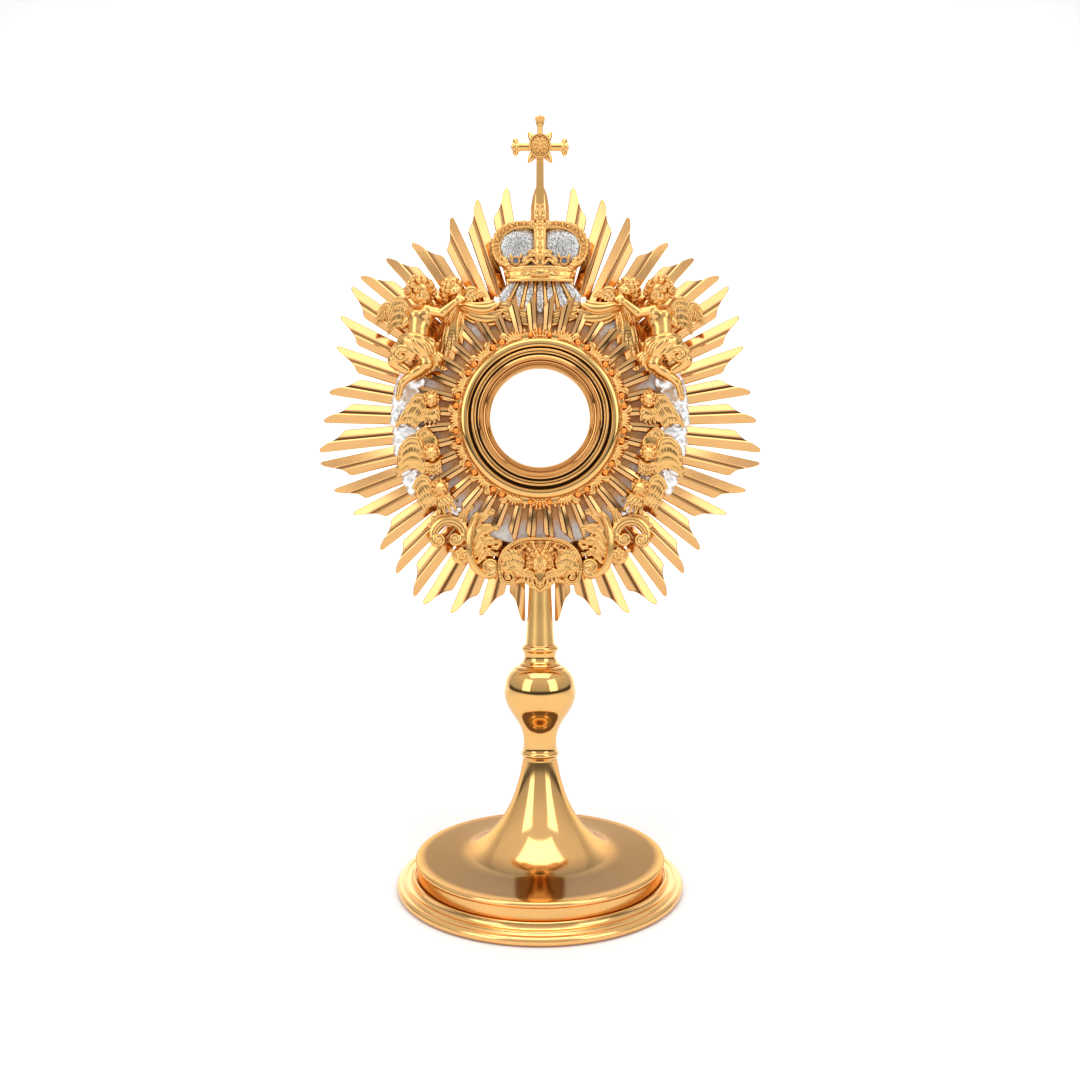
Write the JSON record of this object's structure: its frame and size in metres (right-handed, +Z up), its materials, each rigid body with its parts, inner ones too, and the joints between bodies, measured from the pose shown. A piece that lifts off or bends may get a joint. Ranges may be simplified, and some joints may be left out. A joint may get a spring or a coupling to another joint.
{
  "type": "monstrance",
  "caption": "Sunburst church monstrance on a turned stem and round foot, with a round glazed host window, rear glass door, crown, cross, angels and silver clouds",
  "frame": {"origin": "middle of the underside of the foot", "axes": "+Z up, the window and the figures face -Y, +X to the right as seen from the front"},
  "size_m": [0.3532, 0.2254, 0.6103],
  "materials": {
    "gilt_polished": "mirror polished gold plate",
    "gilt_cast": "cast relief, gold plated, satin with bright high points",
    "gilt_satin": "fine satin gold plate",
    "silver_polished": "polished silver plate on cast brass",
    "silver_stippled": "finely hammered silver plate on brass",
    "brass_plain": "plain turned brass",
    "clear_glass": "clear flat glass"
  },
  "bodies": {
    "monstrance": {"base_ring": "gilt_polished", "base_foot": "gilt_polished", "base_cover": "brass_plain", "cover_screws": "brass_plain", "lower_collar": "gilt_polished", "knop": "gilt_polished", "upper_collar": "gilt_polished", "neck_tube": "gilt_polished", "tie_rod": "brass_plain", "tie_nut": "brass_plain", "tie_washer": "brass_plain", "head_bracket": "gilt_satin", "bracket_screws": "gilt_satin", "ray_carrier": "gilt_satin", "sunburst_rays": "gilt_polished", "glory_plate": "silver_stippled", "stack_studs": "brass_plain", "stack_nuts": "gilt_satin", "luna_case": "gilt_satin", "case_lock_ring": "gilt_satin", "spacer_ring": "brass_plain", "luna_bezel": "gilt_polished", "front_glass": "clear_glass", "glass_retainer": "gilt_satin", "lunette_rail": "gilt_satin", "short_rays": "gilt_polished", "rosette_ring": "gilt_cast", "hinge_bracket": "gilt_satin", "hinge_pin": "brass_plain", "latch_post": "gilt_satin", "crown_frame": "gilt_cast", "crown_caps": "silver_stippled", "crown_band": "gilt_cast", "crown_gems": "silver_polished", "crown_finial": "gilt_cast", "cross_shaft": "gilt_polished", "cross": "gilt_cast", "cross_medallion": "gilt_cast", "cartouche": "gilt_cast", "cartouche_cherub": "gilt_cast", "angel_left": "gilt_cast", "angel_wings_left": "gilt_cast", "angel_companion_left": "gilt_cast", "clouds_left": "silver_polished", "drapery_left": "gilt_cast", "cherubs_left": "gilt_cast", "acanthus_left": "gilt_cast", "angel_right": "gilt_cast", "angel_wings_right": "gilt_cast", "angel_companion_right": "gilt_cast", "clouds_right": "silver_polished", "drapery_right": "gilt_cast", "cherubs_right": "gilt_cast", "acanthus_right": "gilt_cast"},
    "rear_door": {"rear_door": "gilt_satin", "rear_glass": "clear_glass", "door_knob": "gilt_polished"},
    "turn_button": {"turn_button": "gilt_satin"}
  },
  "joints": [
    {"name": "rear_door_hinge", "type": "hinge", "parent": "monstrance", "child": "rear_door", "pos_m": [0.0615, 0.0082, 0.368], "axis": [0, 0, -1], "range_deg": [0, 110]},
    {"name": "turn_button_pivot", "type": "hinge", "parent": "monstrance", "child": "turn_button", "pos_m": [-0.0605, 0.0106, 0.368], "axis": [0, 1, 0], "range_deg": [0, 90]}
  ]
}
